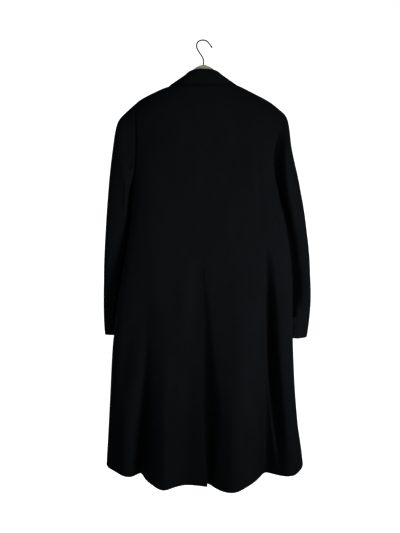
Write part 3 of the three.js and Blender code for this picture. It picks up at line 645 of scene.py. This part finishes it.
# %% Folds and drags on the front
FRONTS = (front_left, front_right)
press(FRONTS, "front", [
    # from the shoulders towards the top button
    [(-114, 236, 0, 18, 18), (-107, 330, 2.6, 22, 22), (-93, 430, 3, 22, 20), (-78, 530, 0, 18, 18)],
    [(-166, 270, 0, 16, 14), (-164, 350, 2, 18, 16), (-158, 450, 0, 16, 14)],
    [(120, 240, 0, 18, 18), (113, 335, 2.4, 24, 20), (98, 440, 3.2, 22, 22), (82, 548, 0, 18, 18)],
    [(164, 300, 0, 14, 16), (165, 380, 2.2, 16, 18), (160, 480, 0, 14, 16)],
    # pulled across by the buttons
    [(32, 521, 0, 8, 8), (64, 527, 1.6, 10, 9), (116, 548, 0, 10, 10)],
    [(-24, 524, 0, 8, 8), (-58, 533, 1.7, 10, 10), (-112, 560, 0, 10, 10)],
    [(30, 656, 0, 8, 8), (70, 668, 1.4, 10, 10), (122, 690, 0, 10, 10)],
    [(-24, 655, 0, 8, 8), (-66, 664, 1.5, 10, 10), (-110, 676, 0, 10, 10)],
    [(34, 792, 0, 8, 8), (66, 812, 1.3, 10, 10), (96, 842, 0, 10, 10)],
    [(-26, 793, 0, 8, 8), (-54, 810, 1.5, 10, 10), (-90, 846, 0, 10, 10)],
    # long falls of the skirt
    [(56, 850, 0, 20, 22), (63, 980, 4, 26, 24), (68, 1140, 7, 28, 28), (72, 1290, 6, 30, 30)],
    [(-54, 880, 0, 20, 20), (-62, 1010, 5, 24, 26), (-70, 1160, 7, 28, 28), (-74, 1290, 7, 28, 28)],
    [(186, 700, 0, 18, 18), (194, 840, 5, 22, 22), (204, 980, 5, 22, 22), (212, 1120, 0, 20, 20)],
    [(-196, 720, 0, 18, 18), (-204, 860, 5, 22, 20), (-212, 1000, 4, 22, 20), (-218, 1100, 0, 20, 18)],
])

# %% [markdown]
# The plain walls have the main form, and real cloth stands a few millimetres fuller in places.
# These wide, shallow presses have negative depths, so they raise the shoulders by up to 8 mm,
# the sleeves by up to 6.5 mm and the corners of the hem by up to 6 mm.

# %% Fullness at the shoulders, sleeves and hem corners
press((back_left, front_left, sleeve_top_left), "top", [
    [(88, 0, 0, 70, 70), (112, 0, -3.2, 80, 80), (150, 0, -3, 80, 80), (184, 0, -2.2, 80, 80),
     (214, 0, -0.5, 80, 80), (238, 0, -3.5, 80, 80), (254, 0, -7, 80, 80), (268, 0, -7, 80, 80)],
])
press((back_right, front_right, sleeve_top_right), "top", [
    [(-70, 0, 0, 70, 70), (-100, 0, -4.5, 80, 80), (-136, 0, -2, 80, 80), (-180, 0, -0.8, 80, 80),
     (-208, 0, -3.5, 80, 80), (-236, 0, -7.5, 80, 80), (-254, 0, -8, 80, 80)],
])
press((sleeve_top_left, sleeve_under_left), "left", [
    [(-2, 225, 0, 90, 90), (-6, 290, -3.3, 100, 100), (-16, 480, -3.3, 100, 100), (-30, 640, -1.6, 100, 100),
     (-40, 700, 0, 90, 90)],
])
press((sleeve_top_right, sleeve_under_right), "right", [
    [(-20, 440, 0, 90, 90), (-30, 540, -3, 100, 100), (-38, 620, -4.4, 100, 100), (-46, 700, -1, 100, 100),
     (-52, 770, -3.5, 100, 100), (-54, 870, -6.5, 100, 100)],
])
press((back_left, front_left), "left", [
    [(0, 860, 0, 110, 110), (0, 930, -2, 120, 120), (0, 1290, -2.2, 120, 120)],
])
press((back_right, front_right), "right", [
    [(0, 1130, 0, 110, 110), (0, 1200, -4, 120, 120), (0, 1290, -6, 120, 120)],
])

# %% [markdown]
# The right sleeve hangs behind a ridge with a hollow beside the body, and its cuff turns back.
# Both sleeves are slack about the elbow, where short creases cross them.

# %% Creases on the sleeves
LEFT_SLEEVE = (sleeve_top_left, sleeve_under_left)
RIGHT_SLEEVE = (sleeve_top_right, sleeve_under_right)
press(RIGHT_SLEEVE, "back", [
    # the ridge that stands up behind the shoulder blade, then the hollow beside the body
    [(-238, 285, 0, 18, 20), (-236, 350, -11, 22, 24), (-240, 430, -13, 24, 24), (-252, 520, -6, 24, 24),
     (-262, 600, 0, 22, 22)],
    [(-214, 470, 0, 14, 12), (-224, 520, 14, 22, 20), (-238, 580, 18, 26, 24), (-247, 650, 16, 30, 26),
     (-254, 710, 6, 28, 26), (-262, 750, 0, 24, 24)],
    [(-284, 330, 0, 9, 9), (-288, 372, 2, 10, 10), (-294, 420, 0, 9, 9)],
    # the cuff turns its inner edge to the back
    [(-262, 735, 0, 20, 14), (-264, 790, -16, 26, 16), (-266, 840, -24, 30, 18), (-266, 880, -24, 30, 18)],
])
press(LEFT_SLEEVE, "left", [
    # eased from the sleeve's head, and slack about the elbow
    [(2, 262, 0, 12, 12), (-5, 330, 1.8, 15, 14), (-14, 425, 0, 12, 12)],
    [(-46, 300, 0, 10, 12), (-52, 370, 1.6, 12, 14), (-56, 450, 0, 10, 12)],
    [(-84, 524, 0, 9, 9), (-58, 538, 2.6, 11, 10), (-30, 550, 2.2, 11, 10), (2, 556, 0, 9, 9)],
    [(-90, 572, 0, 9, 9), (-66, 584, 3, 12, 11), (-36, 594, 2, 11, 10), (-8, 598, 0, 9, 9)],
    [(-86, 640, 0, 9, 9), (-62, 650, 1.8, 12, 11), (-30, 652, 0, 9, 9)],
])
press(LEFT_SLEEVE, "front", [
    [(226, 500, 0, 8, 8), (244, 508, 2.6, 10, 10), (266, 516, 0, 8, 8)],
    [(222, 552, 0, 8, 8), (242, 558, 4, 12, 11), (264, 566, 2.5, 11, 10), (282, 570, 0, 8, 8)],
    [(224, 604, 0, 8, 8), (246, 612, 3.4, 12, 12), (272, 618, 0, 9, 9)],
])
press(RIGHT_SLEEVE, "right", [
    [(4, 284, 0, 12, 12), (-4, 350, 2, 15, 14), (-14, 440, 0, 12, 12)],
    [(-88, 540, 0, 9, 9), (-60, 552, 2.8, 12, 10), (-26, 566, 1.8, 11, 10), (0, 570, 0, 9, 9)],
    [(-92, 596, 0, 9, 9), (-68, 604, 2.6, 12, 12), (-34, 612, 2.4, 11, 11), (-4, 622, 0, 9, 9)],
    [(-98, 676, 0, 9, 9), (-74, 690, 2, 12, 11), (-44, 700, 0, 10, 9)],
])
press(RIGHT_SLEEVE, "front", [
    [(-236, 520, 0, 8, 8), (-254, 530, 2.8, 10, 10), (-280, 540, 0, 8, 8)],
    [(-240, 574, 0, 8, 8), (-262, 582, 4.2, 12, 11), (-288, 590, 2, 10, 10), (-300, 592, 0, 8, 8)],
    [(-246, 634, 0, 8, 8), (-268, 640, 3, 12, 11), (-296, 648, 0, 9, 9)],
    [(-262, 800, 0, 9, 9), (-280, 812, 2.2, 11, 11), (-302, 816, 0, 9, 9)],
])

# %% [markdown]
# ## Seams
# The plain walls stand a fraction of a millimetre apart, and light would show through. At most
# seams each edge is drawn about half way, so both cloths meet on one line. At the armholes the
# sleeve goes most of the way to the body. Then the line is pressed in: a machine-sewn seam in
# thick wool lies in a shallow valley. The armhole's valley is the deepest, because the sleeve's
# head is eased in and rolls over it.

# %% Draw the edges together
OVERLAP = 0.03  # the two edges pass each other by this share of the gap
SIDE_BY_SIDE = 0.7  # the least cosine between two edges that are sewn together


def draw_together(first, second, reach, share=0.52):
    """Moves the open edges of two cloths that run side by side within reach together.

    The first goes this share of the way to the second. The second goes the rest and a little
    more, so that no light shows between them. Edges further apart than reach stay open.
    """
    pair = (first, second)
    before = [positions(piece) for piece in pair]
    edges = [open_edges(piece) for piece in pair]
    met = []
    for mine, other, part in ((0, 1, share), (1, 0, 1 + OVERLAP - share)):
        lines = before[other][edges[other]]
        ends = before[mine][edges[mine]]
        _, far, which = nearest_on(lines, ends.mean(1))
        run = ends[:, 1] - ends[:, 0]
        theirs = lines[which, 1] - lines[which, 0]
        lengths = np.linalg.norm(run, axis=1) * np.linalg.norm(theirs, axis=1)
        along = np.abs((run * theirs).sum(1)) > SIDE_BY_SIDE * lengths
        close = np.unique(edges[mine][along & (far < reach)])
        rows = before[mine].copy()
        nearest, _, _ = nearest_on(lines, rows[close])
        rows[close] += (nearest - rows[close]) * part
        place(pair[mine], rows)
        met.append(len(close))
    return met


def press_seam(firsts, seconds, profile):
    """Presses the seam between two groups of joined cloths in.

    profile(places) gives, for places on the seam, the depth and how far it fades out on the
    first and on the second group, all in millimetres. The move depends on the place alone, so
    cloths that meet stay joined.
    """
    groups = (firsts, seconds)
    pieces = [piece for group in groups for piece in group]
    before = {piece.name: positions(piece) for piece in pieces}
    normals = {piece.name: outward(piece) for piece in pieces}
    edges = {piece.name: open_edges(piece) for piece in pieces}
    lines, spots, inward = [], [], []
    for first in firsts:
        for second in seconds:
            numbers = np.unique(edges[first.name])
            _, far, _ = nearest_on(before[second.name][edges[second.name]], before[first.name][numbers])
            joined = numbers[far < 0.6 * MM]
            if len(joined) < 2:
                continue
            rows = before[first.name]
            lines.append(rows[edges[first.name][np.isin(edges[first.name], joined).all(1)]])
            other = np.unique(edges[second.name])
            gaps = rows[joined][:, None] - before[second.name][other][None]
            beside = np.linalg.norm(gaps, axis=2).argmin(1)
            spots.append(rows[joined])
            inward.append(-(normals[first.name][joined] + normals[second.name][other[beside]]))
    lines, spots, inward = np.concatenate(lines), np.concatenate(spots), np.concatenate(inward)
    inward /= np.linalg.norm(inward, axis=1)[:, None]
    depth, *widths = profile(spots)
    for group, width in zip(groups, widths):
        for piece in group:
            rows = before[piece.name]
            reach = width.max() * MM
            close = ((rows > spots.min(0) - reach) & (rows < spots.max(0) + reach)).all(1)
            some = np.flatnonzero(close)
            if not len(some):
                continue
            _, far, _ = nearest_on(lines, rows[some])
            some, far = some[far < reach], far[far < reach]
            for part, away in zip(np.array_split(some, 40), np.array_split(far, 40)):
                gaps = np.linalg.norm(rows[part][:, None] - spots[None], axis=2)
                best = gaps.argmin(1)
                fade = 0.5 + 0.5 * np.cos(np.pi * np.minimum(away / (width[best] * MM), 1))
                rows[part] += inward[best] * (depth[best] * fade)[:, None] * MM
            place(piece, rows)


def even(depth, width):
    """The same depth and width all along a seam."""
    return lambda spots: tuple(np.full(len(spots), value) for value in (depth, width, width))


ARMHOLES = {  # down the back of each armhole: drop, depth, fade on the body and on the sleeve
    "left": [(190, 0.5, 3, 3), (225, 2.5, 3.5, 4), (260, 6, 4, 5), (400, 7, 4, 5), (432, 3, 5, 5),
             (442, 0.5, 5, 5)],
    "right": [(232, 0.5, 3, 4), (262, 4, 4, 10), (295, 17, 5, 26), (335, 26, 6, 32), (415, 25, 6, 32),
              (442, 12, 7, 20)],
}


def armhole_profile(side):
    """The back of an armhole from its table, and a plain valley down its front."""
    drop, *columns = np.array(ARMHOLES[side]).T

    def profile(spots):
        behind = np.clip(0.5 + spots[:, 1] / 0.04, 0, 1)
        at = -spots[:, 2] / MM
        front = (np.interp(at, (drop[0], drop[0] + 70), (0.5, 3)), 4, 5)
        return tuple(
            behind * np.interp(at, drop, column) + (1 - behind) * plain
            for column, plain in zip(columns, front)
        )

    return profile


SIDES = {
    "left": (back_left, front_left, sleeve_top_left, sleeve_under_left),
    "right": (back_right, front_right, sleeve_top_right, sleeve_under_right),
}
print("centre back:", draw_together(back_left, back_right, 1.2 * MM))
for side, (back, front, top, under) in SIDES.items():
    print(side, "shoulder and side:", draw_together(back, front, 2.2 * MM))
    print(side, "sleeve seams:", draw_together(top, under, 2.2 * MM))
    for panel in (back, front):
        for piece in (top, under):
            print(side, "armhole:", draw_together(panel, piece, 14 * MM, share=0.15))

# %% Press the seams in
press_seam([back_left], [back_right], even(0.15, 4))
for side, (back, front, top, under) in SIDES.items():
    press_seam([back], [front], even(0.7, 4))
    press_seam([top], [under], even(0.35, 4))
    press_seam([back, front], [top, under], armhole_profile(side))
    print("seams pressed on the", side)

# %% [markdown]
# ## Thickness
# A Solidify modifier turns each sheet back into cloth, inwards from its outer side.

# %% Give the cloth its thickness
CLOTH = 0.002


def thicken(piece, thickness=CLOTH):
    """Adds the cloth's thickness on the inner side of a sheet."""
    only(piece)
    wall = piece.modifiers.new("thickness", "SOLIDIFY")
    wall.thickness = thickness
    wall.offset = -1
    bpy.ops.object.modifier_apply(modifier=wall.name)
    rim = piece.modifiers.new("soft edge", "BEVEL")
    rim.width = 0.35 * thickness
    rim.segments = 2
    rim.limit_method = "ANGLE"
    rim.angle_limit = math.radians(60)
    bpy.ops.object.modifier_apply(modifier=rim.name)
    bpy.ops.object.shade_smooth_by_angle(angle=math.radians(40))


for node, piece in SHEETS.items():
    area = sum(face.area for face in piece.data.polygons)
    print(f"{node}: {area:.4f} square metres of cloth")
    thicken(piece)
    piece.data.materials.clear()
    piece.data.materials.append(wool)
    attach(piece, "root")
    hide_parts(node)
print("cloth pieces:", len(SHEETS))

# %% [markdown]
# ## Horn, thread, plastic and steel
# The small parts share one kind of material: noise moves its colour and its roughness between
# two values, and a finer noise can roughen its surface.

# %% Horn, thread, plastic and steel
def plain_material(
    name, dark, light, rough, scale, metallic=0.0, bump_mm=0.0, gloss=0.5, stretch=(1, 1, 1)
):
    """A material whose colour, roughness and surface vary softly with noise."""
    material = bpy.data.materials.new(name)
    material.use_nodes = True
    tree = material.node_tree
    shader = tree.nodes["Principled BSDF"]
    place = tree.nodes.new("ShaderNodeTexCoord")
    cloud = noise(tree, scale, 4, place, stretch)
    colours = tree.nodes.new("ShaderNodeValToRGB")
    colours.color_ramp.elements[0].position = 0.38
    colours.color_ramp.elements[0].color = (*dark, 1)
    colours.color_ramp.elements[1].position = 0.64
    colours.color_ramp.elements[1].color = (*light, 1)
    tree.links.new(cloud.outputs["Fac"], colours.inputs["Fac"])
    tree.links.new(colours.outputs["Color"], shader.inputs["Base Color"])
    roughness = tree.nodes.new("ShaderNodeMapRange")
    roughness.inputs["To Min"].default_value = rough[0]
    roughness.inputs["To Max"].default_value = rough[1]
    tree.links.new(cloud.outputs["Fac"], roughness.inputs["Value"])
    tree.links.new(roughness.outputs["Result"], shader.inputs["Roughness"])
    if bump_mm:
        grain = noise(tree, scale * 6, 3, place, stretch)
        bump = tree.nodes.new("ShaderNodeBump")
        bump.inputs["Distance"].default_value = bump_mm / 1000
        bump.inputs["Strength"].default_value = 0.5
        tree.links.new(grain.outputs["Fac"], bump.inputs["Height"])
        tree.links.new(bump.outputs["Normal"], shader.inputs["Normal"])
    shader.inputs["Metallic"].default_value = metallic
    shader.inputs["Specular IOR Level"].default_value = gloss
    return material


horn = plain_material(
    "dark_horn", (0.006, 0.005, 0.0045), (0.022, 0.017, 0.013), (0.2, 0.36), 120,
    gloss=0.3, stretch=(1, 1, 0.3),
)
thread = plain_material(
    "black_thread", (0.004, 0.004, 0.0045), (0.009, 0.009, 0.010), (0.6, 0.8), 900,
    bump_mm=0.1, gloss=0.04,
)
plastic = plain_material(
    "olive_plastic", (0.42, 0.44, 0.30), (0.52, 0.54, 0.38), (0.42, 0.55), 90, bump_mm=0.03
)
steel = plain_material(
    "dark_steel", (0.012, 0.011, 0.010), (0.035, 0.032, 0.03), (0.25, 0.4), 300, metallic=1.0
)
print("small parts:", [material.name for material in (horn, thread, plastic, steel)])

# %% [markdown]
# ## Buttons
# Three large four-hole buttons close the front. One is made at the origin, facing the front:
# a disc, its face inset to leave a rim and pushed in to make a dish, with four holes cut
# through. Each one is sewn on with crossed thread and a short wound shank.

# %% One button at the origin
BUTTON_RADIUS, BUTTON_DEPTH = 0.014, 0.0044
HOLE_RADIUS, HOLE_OFFSET = 0.0013, 0.0032
RIM_WIDTH, DISH_SLOPE, DISH_DEPTH = 0.0026, 0.0012, 0.0009
STRAND_RADIUS, STRAND_GAP, STRAND_FRONT = 0.0004, 0.0013, -0.00165
SHANK_RADIUS, SHANK_LENGTH, SHANK_BACK = 0.0021, 0.0016, 0.0028
FRONTWARDS = (math.radians(90), 0, 0)
CORNERS = ((1, 1), (-1, 1), (-1, -1), (1, -1))


def rod(radius, depth, place, turn, sides=16):
    """A cylinder of a radius and length at a place, and returns it."""
    bpy.ops.object.select_all(action="DESELECT")
    bpy.ops.mesh.primitive_cylinder_add(
        vertices=sides, radius=radius, depth=depth, location=place, rotation=turn
    )
    return bpy.context.object


def joined(pieces, name):
    """Joins pieces into one object of this name."""
    only(pieces[0])
    for piece in pieces:
        piece.select_set(True)
    bpy.ops.object.join()
    bpy.context.object.name = name
    bpy.ops.object.transform_apply(location=True, rotation=True, scale=True)
    return bpy.context.object


disc = rod(BUTTON_RADIUS, BUTTON_DEPTH, (0, 0, 0), FRONTWARDS, 64)
bpy.ops.object.transform_apply(location=True, rotation=True, scale=True)
pick(disc, "FACE", lambda centre, face: centre.y < -0.002)
bpy.ops.mesh.inset(thickness=RIM_WIDTH, depth=0.0)
bpy.ops.mesh.inset(thickness=DISH_SLOPE, depth=-DISH_DEPTH)
bpy.ops.object.mode_set(mode="OBJECT")
edges = disc.modifiers.new("rounded rim", "BEVEL")
edges.width = 0.0007
edges.segments = 3
edges.limit_method = "ANGLE"
bpy.ops.object.modifier_apply(modifier=edges.name)
drills = [rod(HOLE_RADIUS, 0.02, (x * HOLE_OFFSET, 0, z * HOLE_OFFSET), FRONTWARDS) for x, z in CORNERS]
cutter = joined(drills, "cutter")
only(disc)
holes = disc.modifiers.new("holes", "BOOLEAN")
holes.object = cutter
holes.operation = "DIFFERENCE"
holes.solver = "EXACT"
bpy.ops.object.modifier_apply(modifier=holes.name)
bpy.ops.object.shade_smooth_by_angle(angle=math.radians(35))
bpy.data.objects.remove(cutter)

strands = []
for tilt in (45, -45):
    for side in (-0.45, 0, 0.45):
        turn = math.radians(tilt)
        shift = side * STRAND_GAP
        spot = (shift * math.sin(turn), STRAND_FRONT, shift * math.cos(turn))
        tilted = (0, math.radians(90) + turn, 0)
        strands.append(rod(STRAND_RADIUS, 2 * HOLE_OFFSET * math.sqrt(2), spot, tilted, 8))
strands.append(rod(SHANK_RADIUS, SHANK_LENGTH, (0, SHANK_BACK, 0), FRONTWARDS, 20))
stitch = joined(strands, "stitch")
bpy.ops.object.shade_smooth_by_angle(angle=math.radians(50))
disc.data.materials.append(horn)
stitch.data.materials.append(thread)
print("one button:", len(disc.data.polygons), "faces, and its thread:", len(stitch.data.polygons))

# %% Three buttons in their places
for number in (1, 2, 3):
    node = nodes[f"button_{number}"]
    corners = np.array([node.matrix_world @ Vector(corner) for corner in node.bound_box])
    middle = (corners.min(0) + corners.max(0)) / 2
    for master, name in ((disc, f"button_{number}_horn"), (stitch, f"button_{number}_thread")):
        only(master)
        bpy.ops.object.duplicate()
        piece = bpy.context.object
        piece.name = name
        piece.location = Vector(middle)
        bpy.ops.object.transform_apply(location=True, rotation=True, scale=True)
        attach(piece, "root")
        if master == disc:
            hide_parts(f"button_{number}")
for master in (disc, stitch):
    bpy.data.objects.remove(master)
print("buttons:", number)

# %% [markdown]
# ## Buttonholes
# Each buttonhole is a ring of close stitches along a slit, worked from the front edge inwards.
# A closed curve with a round section follows the cloth: each of its points takes its depth
# from the foremost of the eight nearest points of the cloth.

# %% Work the buttonholes
def cloth_depth(piece, x, z):
    """How far forward a cloth's outer side lies at a place."""
    rows = positions(piece)
    nearest = np.argsort(np.hypot(rows[:, 0] - x, rows[:, 2] - z))[:8]
    return float(rows[nearest, 1].min())


def tube_along(points, radius, name, closed=False):
    """A round tube through points, as a mesh."""
    bpy.ops.object.select_all(action="DESELECT")
    bpy.ops.curve.primitive_bezier_curve_add()
    line = bpy.context.object
    line.name = name
    line.data.dimensions = "3D"
    line.data.splines.clear()
    spline = line.data.splines.new("BEZIER")
    spline.bezier_points.add(len(points) - 1)
    for spot, where in zip(spline.bezier_points, points):
        spot.co = where
        spot.handle_left_type = spot.handle_right_type = "AUTO"
    spline.use_cyclic_u = closed
    line.data.resolution_u = 8
    line.data.bevel_depth = radius
    line.data.bevel_resolution = 4
    line.data.use_fill_caps = not closed
    only(line)
    bpy.ops.object.convert(target="MESH")
    piece = bpy.context.object
    piece.name = name
    bpy.ops.object.shade_smooth_by_angle(angle=math.radians(60))
    return piece


BUTTONHOLE_DROPS = (520, 655, 790)
BUTTONHOLE_MIDDLE, HALF_LENGTH, HALF_HEIGHT = 12, 15.5, 1.5  # millimetres
buttonholes = []
for number, drop in enumerate(BUTTONHOLE_DROPS, 1):
    ring = []
    for turn in range(24):
        angle = math.radians(turn * 15)
        along = math.copysign(abs(math.cos(angle)) ** 0.7, math.cos(angle))
        x = (BUTTONHOLE_MIDDLE + HALF_LENGTH * along) * MM
        z = (-drop + HALF_HEIGHT * math.sin(angle)) * MM
        ring.append((x, cloth_depth(front_left, x, z) - 0.0002, z))
    buttonholes.append(tube_along(ring, 0.0008, f"buttonhole_{number}", closed=True))
for piece in buttonholes:
    piece.data.materials.append(thread)
    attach(piece, "root")
print("buttonholes:", len(buttonholes))

# %% [markdown]
# ## The hanger and its hook
# The hanger is moulded plastic, thick at the middle and thin at its ends. The plain one has the
# right sizes with flat facets, so a copy is merged, its truly sharp edges are creased, and a
# subdivision surface rounds the rest. The hook is a bent wire with a round tip, so it is made
# afresh: a curve through its bends with a round section, and a ball on its end.

# %% Hanger
hanger = copy_of("hanger", "hanger_body")
only(hanger)
bpy.ops.object.mode_set(mode="EDIT")
bpy.ops.mesh.select_mode(type="EDGE")
bpy.ops.mesh.select_all(action="DESELECT")
bpy.ops.mesh.edges_select_sharp(sharpness=math.radians(58))
bpy.ops.transform.edge_crease(value=1.0)
bpy.ops.object.mode_set(mode="OBJECT")
rounder = hanger.modifiers.new("rounder", "SUBSURF")
rounder.levels = 2
rounder.render_levels = 2
bpy.ops.object.modifier_apply(modifier=rounder.name)
bpy.ops.object.shade_smooth_by_angle(angle=math.radians(45))
hanger.data.materials.clear()
hanger.data.materials.append(plastic)
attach(hanger, "root")
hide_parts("hanger")
print("hanger faces:", len(hanger.data.polygons))

# %% Hook
WIRE_RADIUS, TIP_RADIUS, TIP_PLACE = 0.0021, 0.0026, (-0.0242, 0, -0.0187)
HOOK_BENDS = [  # towards the wearer's left, and above the rail's top, in millimetres
    (0, -78), (0, -62), (1.5, -52), (8, -41), (15, -30), (20, -18), (18.5, -6.5), (11, 0), (0, 1.8),
    (-10, -1.5), (-17, -9), (-21.5, -15.5), (-24, -18.5),
]
wire = tube_along([(x * MM, 0, z * MM) for x, z in HOOK_BENDS], WIRE_RADIUS, "hook_wire")
bpy.ops.object.select_all(action="DESELECT")
bpy.ops.mesh.primitive_uv_sphere_add(segments=24, ring_count=14, radius=TIP_RADIUS, location=TIP_PLACE)
tip = bpy.context.object
bpy.ops.object.shade_smooth()
hook = joined([wire, tip], "hook")
hook.data.materials.clear()
hook.data.materials.append(steel)
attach(hook, "root")
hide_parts("hanger_hook")
print("hook faces:", len(hook.data.polygons))

# %% [markdown]
# ## The sheets of cloth
# A table lists what each sheet hangs from, and the size that each was cut to before it was hung, as measured
# above, is read for it.

# %% List what holds each sheet and read its cut size
HOLDERS = {
    "back_left": ["hanger_body"],
    "back_right": ["hanger_body"],
    "front_left": ["hanger_body"],
    "front_right": ["hanger_body"],
    "lapel_left": ["front_left_cloth"],
    "lapel_right": ["front_right_cloth"],
    "collar": ["back_left_cloth", "back_right_cloth"],
    "sleeve_top_left": ["back_left_cloth", "front_left_cloth"],
    "sleeve_top_right": ["back_right_cloth", "front_right_cloth"],
    "sleeve_under_left": ["sleeve_top_left_cloth"],
    "sleeve_under_right": ["sleeve_top_right_cloth"],
}
for node, holders in HOLDERS.items():
    width, length, area = FLAT_SIZES[node]
print("sheets:", len(HOLDERS))
